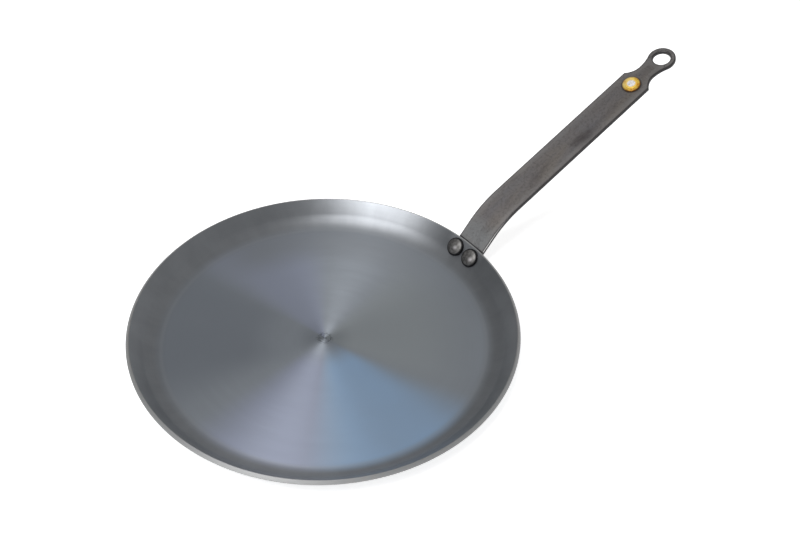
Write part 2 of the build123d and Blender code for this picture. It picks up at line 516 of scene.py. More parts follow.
@dataclass(frozen=True)
class Tint:
    """A colour painted on one sector of the pan's floor: the darker sectors are painted shade, the paler and
    bluer ones are blue heat colour together with a painted tint of reflected light.
    """

    colour: Colour
    toward: float
    full: float
    faded: float
    strength: float = 1.0
    reach: Ramp = Ramp(-2.0 * MM, -1.0 * MM)

    def mask(self, graph: FinishGraph, outward: tuple[Num, Num], radius: Num) -> Num:
        """Masks the sector.

        Args:
            graph: The material's tree.
            outward: The X and Y parts of the outward direction.
            radius: The distance from the pan's axis.

        Returns:
            The tint's strength, which fades from the sector's middle to its sides.
        """
        facing = outward[0] * math.cos(self.toward) + outward[1] * math.sin(self.toward)
        sector = graph.remap(facing, math.cos(self.faded), math.cos(self.full), 0.0, self.strength)
        return sector * self.reach.of(radius)


SECTOR_LIGHT_AND_SHADE = (
    # Painted shade: a darker sector toward 136 degrees, growing from 22 mm to 56 mm out.
    Tint(
        colour=(0.325, 0.355, 0.4, 1.0),
        toward=degrees(136.0),
        full=degrees(16.0),
        faded=degrees(44.0),
        reach=Ramp(22.0 * MM, 56.0 * MM),
    ),
    # Blue heat colour and painted tint of light: blues the sector toward 79 degrees, where a fan of
    # reflected light falls.
    Tint(
        colour=(0.44, 0.48, 0.6, 1.0),
        toward=degrees(79.0),
        full=degrees(8.0),
        faded=degrees(30.0),
        strength=0.9,
    ),
    # Painted shade: darkens the sector toward 52 degrees, near the floor's edge.
    Tint(
        colour=(0.355, 0.38, 0.415, 1.0),
        toward=degrees(52.0),
        full=degrees(24.0),
        faded=degrees(56.0),
        strength=0.9,
        reach=Ramp(66.0 * MM, 98.0 * MM),
    ),
    # Lilac heat colour and painted tint of light: the sector toward -148 degrees, where half of a fan of
    # reflected light falls.
    Tint(
        colour=(0.395, 0.43, 0.545, 1.0),
        toward=degrees(-148.0),
        full=degrees(10.0),
        faded=degrees(30.0),
        reach=Ramp(4.0 * MM, 30.0 * MM),
    ),
    # Blue heat colour and painted tint of light: the sector toward -100 degrees, where the other half of
    # that fan falls.
    Tint(
        colour=(0.45, 0.63, 0.87, 1.0),
        toward=degrees(-100.0),
        full=degrees(8.0),
        faded=degrees(35.0),
        reach=Ramp(4.0 * MM, 30.0 * MM),
    ),
    # Painted light: a paler sector toward -28 degrees, strongest inside 56 mm.
    Tint(
        colour=(0.46, 0.498, 0.525, 1.0),
        toward=degrees(-28.0),
        full=degrees(26.0),
        faded=degrees(52.0),
        reach=Ramp(112.0 * MM, 56.0 * MM),
    ),
)


@dataclass(frozen=True)
class TurnedSteel:
    """Bare steel: the floor turned in fine circles round the Z axis, and the wall pressed smooth."""

    name: str = "turned_steel"
    floor_dark: Colour = (0.385, 0.418, 0.462, 1.0)
    floor_light: Colour = (0.415, 0.452, 0.5, 1.0)
    wall_dark: Colour = (0.263, 0.275, 0.292, 1.0)
    wall_light: Colour = (0.288, 0.301, 0.32, 1.0)
    # Colour of the sunk mark, and of the painted shade in the floor's middle.
    engraved_and_shade: Colour = (0.2, 0.215, 0.235, 1.0)
    cut: Colour = (0.5, 0.502, 0.5, 1.0)
    # Colour of the painted highlight along the floor's edge, and of the paler wall round the strap's seat.
    burnish_and_sheen: Colour = (0.5, 0.52, 0.55, 1.0)
    tints: tuple[Tint, ...] = SECTOR_LIGHT_AND_SHADE
    tint_patches: tuple[float, float] = (0.5, 0.7)
    inside: Ramp = Ramp(1.0 * MM, 2.0 * MM)
    past_floor: Ramp = Ramp(104.4 * MM, 114.4 * MM)

    line_pitch: float = 0.45 * MM
    lines_round: float = 4.0
    lines: Cloud = Cloud(1.0, 2.0)
    line_depth: float = 0.0006 * MM
    band_pitch: float = 4.05 * MM
    bands_round: float = 2.0
    bands: Cloud = Cloud(1.0)
    clouds: Cloud = Cloud(16.0)
    floor_mix: tuple[float, float, float] = (0.25, 0.25, 0.5)
    streaks_round: float = 9.0
    streaks_up: float = 25.0
    streaks: Cloud = Cloud(1.0)
    wall_mix: tuple[float, float] = (0.2, 0.8)
    tone: Ramp = Ramp(0.35, 0.65)

    mark: Ramp = Ramp(7.0 * MM, 4.2 * MM)
    speckle: Cloud = Cloud(900.0, 2.0, 0.7)
    speckled: Ramp = Ramp(0.42, 0.6, 0.0, 0.6)
    middle_shade: Ramp = Ramp(22.0 * MM, 8.0 * MM, 0.0, 0.2)
    edge_line: float = 108.1 * MM
    floor_edge_highlight: Ramp = Ramp(2.0 * MM, 0.3 * MM, 0.0, 0.15)
    seat_aside: Ramp = Ramp(19.0 * MM, 11.0 * MM, 0.0, 0.6)
    seat_ahead: Ramp = Ramp(121.5 * MM, 125.5 * MM)

    rim: tuple[float, float] = (127.806 * MM, 16.6 * MM)
    rim_slope: float = degrees(47.0)
    rim_middle: float = 1.5 * MM
    rim_cut: Ramp = Ramp(-0.6 * MM, -0.2 * MM)
    rim_corners: Ramp = Ramp(0.9 * MM, 1.35 * MM, 0.75, 1.0)

    floor_roughness: float = 0.426
    wall_roughness: Ramp = Ramp(116.0 * MM, 123.0 * MM, 0.44, 0.365)
    middle_roughness: Ramp = Ramp(20.0 * MM, 0.0, 0.0, 0.24)
    cut_roughness: float = 0.335
    band_roughness: float = 0.05
    anisotropy: float = 0.7

    def cut_edge(self, radius: Num, height: Num) -> Num:
        """Masks the sheet's cut edge at the rim, strongest along its two corners.

        Args:
            radius: The distance from the pan's axis.
            height: The height over the pan's foot.

        Returns:
            The mask.
        """
        past_rim = radius - self.rim[0]
        over_rim = height - self.rim[1]
        across_edge = past_rim * math.sin(self.rim_slope) - over_rim * math.cos(self.rim_slope)
        up_wall = past_rim * math.cos(self.rim_slope) + over_rim * math.sin(self.rim_slope)
        from_middle = (across_edge - self.rim_middle).apply("ABSOLUTE")
        return self.rim_cut.of(up_wall) * self.rim_corners.of(from_middle)

    def material(self) -> bpy.types.Material:
        """Builds the material."""
        graph = FinishGraph(self.name)
        place = graph.place()
        across, along, height = graph.parts(place)
        radius = (across * across + along * along).apply("SQRT")
        level = graph.vector(across, along, 0.0)
        flat = graph.call("ShaderNodeVectorMath", {"Vector": level}, operation="NORMALIZE")
        outward = flat.outputs["Vector"]
        ahead, aside, _ = graph.parts(outward)
        reach = radius + height
        turns = self.lines_round
        lines = self.lines.at(graph, graph.vector(reach / self.line_pitch, ahead * turns, aside * turns))
        turns = self.bands_round
        bands = self.bands.at(graph, graph.vector(reach / self.band_pitch, ahead * turns, aside * turns))
        clouds = self.clouds.at(graph, place)
        turns = self.streaks_round
        streaks = self.streaks.at(graph, graph.vector(ahead * turns, aside * turns, reach * self.streaks_up))

        line_share, band_share, cloud_share = self.floor_mix
        tone = self.tone.of(lines * line_share + bands * band_share + clouds * cloud_share)
        floor = graph.blend(tone, self.floor_dark, self.floor_light)
        inside = self.inside.of(height)
        patchy, least = self.tint_patches
        # The sectors paint shade and tinted light onto the floor, patchy with the clouds.
        for tint in self.tints:
            amount = tint.mask(graph, (ahead, aside), radius) * (clouds * patchy + least) * inside
            floor = graph.blend(amount.apply("MINIMUM", 1.0), floor, tint.colour)
        # Painted shade: darkens the floor's middle.
        floor = graph.blend(self.middle_shade.of(radius) * inside, floor, self.engraved_and_shade)
        mark = self.mark.of(radius) * self.speckled.of(self.speckle.at(graph, place)) * inside
        floor = graph.blend(mark, floor, self.engraved_and_shade)

        line_share, streak_share = self.wall_mix
        wall_tone = self.tone.of(lines * line_share + streaks * streak_share)
        wall = graph.blend(wall_tone, self.wall_dark, self.wall_light)
        outside = self.past_floor.of(radius)
        colour = graph.blend(outside, floor, wall)
        # Painted highlight: a pale line along the floor's edge where it turns up into the wall; the wall is
        # also paler round the strap's seat.
        edge = self.floor_edge_highlight.of((radius - self.edge_line).apply("ABSOLUTE"))
        seat = self.seat_aside.of(along.apply("ABSOLUTE")) * self.seat_ahead.of(across)
        colour = graph.blend(edge.apply("MAXIMUM", seat), colour, self.burnish_and_sheen)
        cut = self.cut_edge(radius, height)
        graph.feed(graph.shader.inputs["Base Color"], graph.blend(cut, colour, self.cut))

        rough = outside * (self.wall_roughness.of(radius) - self.floor_roughness) + self.floor_roughness
        rough = rough + self.middle_roughness.of(radius) + cut * self.cut_roughness
        rough = rough + (bands - HALF) * self.band_roughness
        graph.feed(graph.shader.inputs["Roughness"], rough)
        graph.feed(graph.shader.inputs["Tangent"], outward)
        graph.shader.inputs["Metallic"].default_value = 1.0
        graph.shader.inputs["Anisotropic"].default_value = self.anisotropy
        graph.bump(lines, self.line_depth)
        return graph.material


@dataclass(frozen=True)
class RolledSkin:
    """Steel strap with its dark, mottled skin from the rolling mill and rubbed edges; a painted highlight
    runs along its upper corners near the rim, and painted shade lies on its sides, underside, edges, bend
    and far end, at its joint with the rim and round the badge.
    """

    name: str = "rolled_skin"
    base: Colour = (0.25, 0.236, 0.233, 1.0)
    warm: Colour = (0.262, 0.24, 0.222, 1.0)
    cool: Colour = (0.24, 0.235, 0.244, 1.0)
    clean: Colour = (0.375, 0.383, 0.39, 1.0)
    # Dark colour of the mottled scorch and flecks, and of the painted shade toward the far end and over the
    # bend.
    scorch_and_shade: Colour = (0.08, 0.071, 0.073, 1.0)
    # Colour of the painted shade on the strap's sides, along its edges, under it, at its joint with the rim
    # and round the badge.
    side: Colour = (0.035, 0.033, 0.035, 1.0)
    # Colour of the skin's worn patches and rubbed edges.
    burnish_and_sheen: Colour = (0.42, 0.41, 0.4, 1.0)
    # Colour of the painted highlight along the strap's upper corners.
    polished: Colour = (0.66, 0.65, 0.64, 1.0)

    drawn_out: float = 0.3
    hue: Cloud = Cloud(70.0)
    patches: Cloud = Cloud(85.0, 6.0, 0.75)
    speckle: Cloud = Cloud(480.0, 4.0, 0.75)
    grain: Cloud = Cloud(1400.0, 2.0)
    warmed: Ramp = Ramp(0.48, 0.68)
    cooled: Ramp = Ramp(0.5, 0.32)
    cleaned: Ramp = Ramp(12.0 * MM, -4.0 * MM)
    worn: Ramp = Ramp(0.46, 0.3, 0.0, 0.3)
    mottled: Ramp = Ramp(0.46, 0.68, 0.0, 0.45)
    flecked: Ramp = Ramp(0.45, 0.68, 0.0, 0.5)
    far_shade: Ramp = Ramp(60.0 * MM, 185.0 * MM, 0.0, 0.16)
    bend_run: float = 17.0 * MM
    bend_shade: Ramp = Ramp(14.0 * MM, 4.0 * MM, 0.0, 0.22)
    smudge: tuple[float, float] = (104.0 * MM, -6.5 * MM)
    smudge_size: tuple[float, float] = (17.0 * MM, 7.0 * MM)
    smudge_ragged: float = 2.4
    smudge_shade: Ramp = Ramp(1.1, 0.2, 0.0, 0.75)

    rubbed: Ramp = Ramp(6.0 * MM, 2.0 * MM, 0.0, 0.36)
    rubbed_patches: Ramp = Ramp(0.3, 0.6, 1.3, 0.5)
    edge_shade: Ramp = Ramp(1.3 * MM, 0.4 * MM, 0.0, 0.75)
    side_shade: Ramp = Ramp(0.75, 0.3)
    # Where the painted shade lies under the strap, along its edges.
    under_depth: Ramp = Ramp(0.7 * MM, 0.9 * MM)
    under_edge: Ramp = Ramp(1.8 * MM, 1.0 * MM)
    under_run: Ramp = Ramp(150.0 * MM, 120.0 * MM)
    # Where the painted highlight runs along the upper corners, near the rim.
    corner_highlight_depth: float = 0.4 * MM
    corner_highlight_line: Ramp = Ramp(0.4 * MM, 0.15 * MM)
    corner_highlight_lean: Ramp = Ramp(0.9, 0.6)
    corner_highlight_run: Ramp = Ramp(22.0 * MM, -6.0 * MM)
    # Painted shade: a dark line where the strap meets the rim, and a dark ring round the badge.
    joint_shade: Ramp = Ramp(-11.1 * MM, -11.6 * MM, 0.0, 0.9)
    badge_shade: Ramp = Ramp(8.2 * MM, 6.7 * MM, 0.0, 0.75)

    gloss_mix: tuple[float, float] = (0.5, 0.5)
    roughness: Ramp = Ramp(0.35, 0.65, 0.38, 0.54)
    relief_mix: tuple[float, float] = (0.4, 0.6)
    relief: float = 0.03 * MM

    def skin(self, graph: FinishGraph, run: Num, side: Num, hue: Num, patches: Num) -> bpy.types.NodeSocket:
        """Paints the broad tones of the mill skin, with painted shade toward the strap's far end and over
        its bend.

        Args:
            graph: The material's tree.
            run: How far along the strap the point lies.
            side: How far to the side it lies.
            hue: The noise that warms and cools the skin.
            patches: The noise that mottles it.

        Returns:
            The colour.
        """
        colour = graph.blend(self.warmed.of(hue), self.base, self.warm)
        colour = graph.blend(self.cooled.of(hue), colour, self.cool)
        colour = graph.blend(self.cleaned.of(run), colour, self.clean)
        colour = graph.blend(self.worn.of(patches), colour, self.burnish_and_sheen)
        off_run = (run - self.smudge[0]) / self.smudge_size[0]
        off_side = (side - self.smudge[1]) / self.smudge_size[1]
        off_smudge = (off_run * off_run + off_side * off_side).apply("SQRT")
        dark = self.smudge_shade.of(off_smudge + (patches - HALF) * self.smudge_ragged)
        # Mottling, and painted shade toward the strap's far end and over its bend.
        dark = dark.apply("MAXIMUM", self.mottled.of(patches)).apply("MAXIMUM", self.far_shade.of(run))
        dark = dark.apply("MAXIMUM", self.bend_shade.of((run - self.bend_run).apply("ABSOLUTE")))
        return graph.blend(dark, colour, self.scorch_and_shade)

    def material(self) -> bpy.types.Material:
        """Builds the material."""
        graph = FinishGraph(self.name)
        strap = graph.noted(Strap.PLACE)
        from_edge, upright, _ = graph.parts(graph.noted(Strap.EDGE))
        run, side, depth = graph.parts(strap)
        drawn = graph.vector(run * self.drawn_out, side, depth)
        patches = self.patches.at(graph, drawn)
        speckle = self.speckle.at(graph, strap)
        grain = self.grain.at(graph, strap)

        colour = self.skin(graph, run, side, self.hue.at(graph, drawn), patches)
        colour = graph.blend(self.flecked.of(speckle), colour, self.scorch_and_shade)
        rubbed = self.rubbed.of(from_edge) * self.rubbed_patches.of(patches)
        colour = graph.blend(rubbed, colour, self.burnish_and_sheen)
        # Painted shade: darkens the upper face along its edges, the sides, and the underside near the edges.
        colour = graph.blend(self.edge_shade.of(from_edge), colour, self.side)
        colour = graph.blend(self.side_shade.of(upright), colour, self.side)
        under = self.under_depth.of(depth) * self.under_edge.of(from_edge) * self.under_run.of(run)
        colour = graph.blend(under, colour, self.side)
        # Painted highlight: a bright line along the upper corner of the strap's sides, near the rim.
        corner_highlight = self.corner_highlight_line.of((depth - self.corner_highlight_depth).apply("ABSOLUTE"))
        corner_highlight = corner_highlight * self.corner_highlight_lean.of(upright) * self.corner_highlight_run.of(run)
        colour = graph.blend(corner_highlight, colour, self.polished)
        past_badge = run - Strap().place_on(Vector(Badge().centre))[0]
        off_badge = (past_badge * past_badge + side * side).apply("SQRT")
        # Painted shade at the strap's joint with the rim and round the badge.
        grime_and_shade = self.joint_shade.of(run).apply("MAXIMUM", self.badge_shade.of(off_badge))
        graph.feed(graph.shader.inputs["Base Color"], graph.blend(grime_and_shade, colour, self.side))

        fine, broad = self.gloss_mix
        graph.feed(graph.shader.inputs["Roughness"], self.roughness.of(speckle * fine + patches * broad))
        graph.shader.inputs["Metallic"].default_value = 1.0
        fine, broad = self.relief_mix
        graph.bump(grain * fine + speckle * broad, self.relief)
        return graph.material


@dataclass(frozen=True)
class HeadedSteel:
    """The dark, worn steel of a rivet, with a painted highlight on each head and a dark ring of dirt and
    painted shade round its edge.
    """

    name: str = "headed_steel"
    dark: Colour = (0.095, 0.093, 0.09, 1.0)
    light: Colour = (0.21, 0.205, 0.2, 1.0)
    # Colour of the painted highlight on each head.
    glint_colour: Colour = (0.62, 0.6, 0.61, 1.0)
    # Colour of the dirt and painted shade round each head's edge.
    grime_and_shade: Colour = (0.015, 0.015, 0.017, 1.0)
    marks: Cloud = Cloud(420.0, 5.0, 0.65)
    grain: Cloud = Cloud(1800.0, 2.0)
    tone: Ramp = Ramp(0.35, 0.65)
    glint_spots: tuple[tuple[float, float], ...] = ((6.1 * MM, 12.7 * MM), (-9.9 * MM, 12.6 * MM))
    glint_ragged: float = 1.6 * MM
    glint_fade: Ramp = Ramp(2.4 * MM, 0.0, 0.0, 0.8)
    grime_and_shade_ragged: float = 0.6 * MM
    edge_grime_and_shade: Ramp = Ramp(5.2 * MM, 6.0 * MM, 0.0, 0.92)
    roughness: float = 0.39
    roughness_spread: float = 0.2
    relief_mix: tuple[float, float] = (0.35, 0.65)
    relief: float = 0.05 * MM

    def material(self) -> bpy.types.Material:
        """Builds the material."""
        graph = FinishGraph(self.name)
        place = graph.place()
        radius, _, _ = graph.parts(graph.noted(TURNED_PLACE))
        marks = self.marks.at(graph, place)
        grain = self.grain.at(graph, place)
        colour = graph.blend(self.tone.of(marks), self.dark, self.light)
        _, aside, height = graph.parts(place)
        up_wall = 1.0 / math.sin(Dish().wall_slope)
        # Painted highlight: a pale patch on each head, where the lamp's highlight falls.
        for glint_aside, glint_height in self.glint_spots:
            off_aside = aside - glint_aside
            off_height = (height - glint_height) * up_wall
            off = (off_aside * off_aside + off_height * off_height).apply("SQRT")
            glint = self.glint_fade.of(off + (marks - HALF) * self.glint_ragged)
            colour = graph.blend(glint, colour, self.glint_colour)
        # Dirt and painted shade: a dark ring round the head's edge.
        edge_grime_and_shade = self.edge_grime_and_shade.of(radius + (marks - HALF) * self.grime_and_shade_ragged)
        graph.feed(graph.shader.inputs["Base Color"], graph.blend(edge_grime_and_shade, colour, self.grime_and_shade))
        graph.feed(graph.shader.inputs["Roughness"], marks * self.roughness_spread + self.roughness)
        graph.shader.inputs["Metallic"].default_value = 1.0
        fine, broad = self.relief_mix
        graph.bump(grain * fine + marks * broad, self.relief)
        return graph.material


@dataclass(frozen=True)
class Gilt:
    """A bright plated metal with a paler middle, a painted highlight on its +Y side, a dark ring of
    tarnishing and painted shade round its edge that is strongest on its -Y side, and painted shade at its
    foot.
    """

    name: str
    worn: Colour
    bright: Colour
    middle: Colour
    middle_from: Ramp
    roughness: float
    metallic: float
    # Colour of the painted highlight on the +Y side.
    glint: Colour = (1.0, 0.82, 0.36, 1.0)
    # Colour of the tarnishing and painted shade round the edge and at the foot.
    tarnish_and_shade: Colour = (0.3, 0.1, 0.015, 1.0)
    pitted: Colour = (0.4, 0.37, 0.4, 1.0)
    marks: Cloud = Cloud(350.0, 4.0)
    grain: Cloud = Cloud(3000.0, 2.0)
    pits: Cloud = Cloud(800.0, 2.0, 0.6)
    tone: Ramp = Ramp(0.3, 0.6)
    lit_side: Ramp = Ramp(-1.0 * MM, 4.0 * MM)
    edge_ring: Ramp = Ramp(5.3 * MM, 6.5 * MM, 0.0, 0.9)
    shaded_side: Ramp = Ramp(3.0 * MM, -2.5 * MM, 0.55, 1.0)
    foot: Ramp = Ramp(0.95 * MM, 0.45 * MM, 0.0, 0.92)
    over_strap: Ramp = Ramp(-1.0 * MM, -0.5 * MM)
    ripple: float = 0.5 * MM
    pitting: Ramp = Ramp(0.48, 0.62, 0.0, 0.6)
    roughness_spread: float = 0.08
    relief: float = 0.004 * MM

    def material(self) -> bpy.types.Material:
        """Builds the material."""
        graph = FinishGraph(self.name)
        place = graph.place()
        radius, _, rise = graph.parts(graph.noted(TURNED_PLACE))
        _, aside, _ = graph.parts(place)
        marks = self.marks.at(graph, place)
        grain = self.grain.at(graph, place)
        colour = graph.blend(self.tone.of(marks), self.worn, self.bright)
        # Painted highlight: brighter, yellower plating on the +Y side.
        colour = graph.blend(self.lit_side.of(aside) * marks, colour, self.glint)
        # Tarnishing and painted shade round the edge, strongest on the -Y side, and painted shade at the
        # foot where the head meets the strap.
        tarnish_and_shade = self.edge_ring.of(radius) * self.shaded_side.of(aside)
        foot = self.foot.of(rise) * self.over_strap.of(rise)
        colour = graph.blend(tarnish_and_shade.apply("MAXIMUM", foot), colour, self.tarnish_and_shade)
        pits = self.pitting.of(self.pits.at(graph, place))
        pale = graph.blend(pits, self.middle, self.pitted)
        middle = self.middle_from.of(radius + (marks - HALF) * self.ripple)
        graph.feed(graph.shader.inputs["Base Color"], graph.blend(middle, colour, pale))
        graph.feed(graph.shader.inputs["Roughness"], grain * self.roughness_spread + self.roughness)
        graph.shader.inputs["Metallic"].default_value = self.metallic
        graph.bump(grain, self.relief)
        return graph.material


class BadgeTone(Enum):
    """The two platings of the badge."""

    GOLD = Gilt(
        name="gold_plate",
        worn=(0.78, 0.34, 0.02, 1.0),
        bright=(1.0, 0.72, 0.12, 1.0),
        middle=(1.0, 0.72, 0.12, 1.0),
        middle_from=Ramp(0.5 * MM, -0.3 * MM),
        roughness=0.3,
        metallic=0.6,
    )
    PALE = Gilt(
        name="pale_plate",
        worn=(0.95, 0.52, 0.06, 1.0),
        bright=(1.0, 0.7, 0.12, 1.0),
        middle=(1.0, 0.98, 0.96, 1.0),
        middle_from=Ramp(3.4 * MM, 2.6 * MM),
        roughness=0.26,
        metallic=0.15,
    )


@dataclass
class Dish:
    """The pan: a sheet turned up into a low flared wall."""

    rim_radius: float = 130.0 * MM
    sheet: float = 3.0 * MM
    depth: float = 13.6 * MM
    wall_slope: float = degrees(47.0)
    floor_fillet: float = 18.0 * MM
    rim_rounding: float = 0.6 * MM
    mark_radius: float = 4.0 * MM
    mark_line: float = 0.6 * MM
    mark_dot: float = 0.9 * MM
    mark_depth: float = 0.25 * MM
    floor_margin: float = 1.0 * MM
    hole_radius: float = 2.55 * MM
    hole_segments: int = 48
    drill_reach: float = 24.0 * MM
    fillet_steps: int = 28
    rim_steps: int = 6
    segments: int = 512

    def rim_inner(self) -> tuple[float, float]:
        """The rim's inner corner, as a radius and a height."""
        return self.rim_radius - self.sheet * math.sin(self.wall_slope), self.sheet + self.depth

    def on_wall(self, drop: float) -> Vector:
        """The point of the wall's inner face on the handle's line, a drop down the slope from the rim."""
        radius, height = self.rim_inner()
        down = Vector((math.cos(self.wall_slope), 0.0, math.sin(self.wall_slope)))
        return Vector((radius, 0.0, height)) - down * drop

    def corners(self, graph: ShapeGraph) -> list[Corner]:
        """Works out the pan's section in the tree.

        Args:
            graph: The tree.

        Returns:
            The section's corners, from the underside's middle round the rim to the mark in the floor.
        """
        names = ("rim_radius", "sheet", "depth", "wall_slope", "floor_fillet", "rim_rounding")
        rim, sheet, depth, slope, fillet, rounding = graph.sizes_of(self, *names)
        mark, line, dot, sunk = graph.sizes_of(self, "mark_radius", "mark_line", "mark_dot", "mark_depth")
        inner_radius = rim - sheet * slope.sin()
        inner_height = sheet + depth
        outer_height = inner_height - sheet * slope.cos()
        floor_corner = inner_radius - depth / slope.tan()
        base_corner = rim - outer_height / slope.tan()
        margin = fillet * (slope * HALF).tan() + self.floor_margin
        bottom = sheet - sunk
        mark_inner = mark - line * HALF
        mark_outer = mark + line * HALF
        return [
            Corner(0.0, 0.0),
            Corner(floor_corner - margin, 0.0),
            Corner(base_corner, 0.0, fillet + sheet, self.fillet_steps),
            Corner(rim, outer_height, rounding, self.rim_steps),
            Corner(inner_radius, inner_height, rounding, self.rim_steps),
            Corner(floor_corner, sheet, fillet, self.fillet_steps),
            Corner(floor_corner - margin, sheet),
            Corner(mark_outer, sheet),
            Corner(mark_outer, bottom),
            Corner(mark_inner, bottom),
            Corner(mark_inner, sheet),
            Corner(dot, sheet),
            Corner(dot, bottom),
            Corner(0.0, bottom),
        ]

    def build(self, rivets: "Rivets", finish: TurnedSteel) -> bpy.types.Object:
        """Turns the pan and drills it.

        Args:
            rivets: The rivets that the holes are for.
            finish: The pan's finish.

        Returns:
            The pan.
        """
        graph = ShapeGraph("turned_dish")
        turned = graph.turn(graph.section(self.corners(graph)), self.segments)
        hole_radius, drill_reach = graph.sizes_of(self, "hole_radius", "drill_reach")
        inputs = {"Vertices": self.hole_segments, "Radius": hole_radius, "Depth": drill_reach}
        drill = graph.call("GeometryNodeMeshCylinder", inputs).outputs["Mesh"]
        drills = graph.pair(drill, graph.size("rivet pitch", rivets.pitch))
        place = graph.named_input("rivet place", self.on_wall(rivets.drop), "NodeSocketVector")
        drills = graph.call("GeometryNodeRealizeInstances", {"Geometry": drills}).outputs[0]
        drills = graph.move(drills, place, graph.size("drill slope", self.wall_slope))
        cut = graph.node("GeometryNodeMeshBoolean", operation="DIFFERENCE", solver="EXACT")
        graph.feed(cut.inputs["Mesh 1"], turned)
        graph.feed(cut.inputs["Mesh 2"], drills)
        return graph.grow("dish", graph.smooth(cut.outputs[0]), finish.material())


@dataclass
class Rivets:
    """The two rivets: domed heads inside the pan, shanks, and hammered ends under the strap."""

    pitch: float = 15.1 * MM
    drop: float = 7.8 * MM
    shank_radius: float = 2.5 * MM
    head_radius: float = 6.6 * MM
    head_land: float = 0.9 * MM
    head_dome: float = 2.3 * MM
    head_sunk: float = 0.2 * MM
    tail_radius: float = 3.8 * MM
    tail_land: float = 0.5 * MM
    tail_dome: float = 1.2 * MM
    grip: float = 5.55 * MM
    dome_steps: int = 14
    segments: int = 72

    def dome(self, radius: Num, start: Num, rise: Num) -> list[Corner]:
        """Works out the corners of a domed end, from its edge to the axis.

        Args:
            radius: The dome's radius at its edge.
            start: The height of its edge.
            rise: How far it rises, or falls where negative.

        Returns:
            The dome's corners.
        """
        corners = []
        for step in range(self.dome_steps + 1):
            turn = QUARTER_TURN * step / self.dome_steps
            corners.append(Corner(radius * math.cos(turn), start + rise * math.sin(turn)))
        return corners

    def build(self, dish: Dish, finish: HeadedSteel) -> bpy.types.Object:
        """Makes both rivets.

        Args:
            dish: The pan that they go through.
            finish: The rivets' finish.

        Returns:
            Both rivets, as one piece.
        """
        graph = ShapeGraph("rivets")
        names = ("shank_radius", "head_radius", "head_land", "head_dome", "head_sunk")
        shank, head, land, dome, sunk = graph.sizes_of(self, *names)
        tail, tail_land, tail_dome, grip, pitch = graph.sizes_of(
            self, "tail_radius", "tail_land", "tail_dome", "grip", "pitch"
        )
        tail_edge = -grip - tail_land
        corners = self.dome(tail, tail_edge, -tail_dome)[::-1]
        corners += [Corner(tail, -grip), Corner(shank, -grip), Corner(shank, -sunk), Corner(head, -sunk)]
        corners += self.dome(head, land, dome)
        turned = graph.smooth(graph.turn(graph.section(corners), self.segments))
        place = graph.named_input("place", dish.on_wall(self.drop), "NodeSocketVector")
        both = graph.move(graph.pair(turned, pitch), place, graph.size("slope", dish.wall_slope))
        return graph.grow("rivets", both, finish.material())


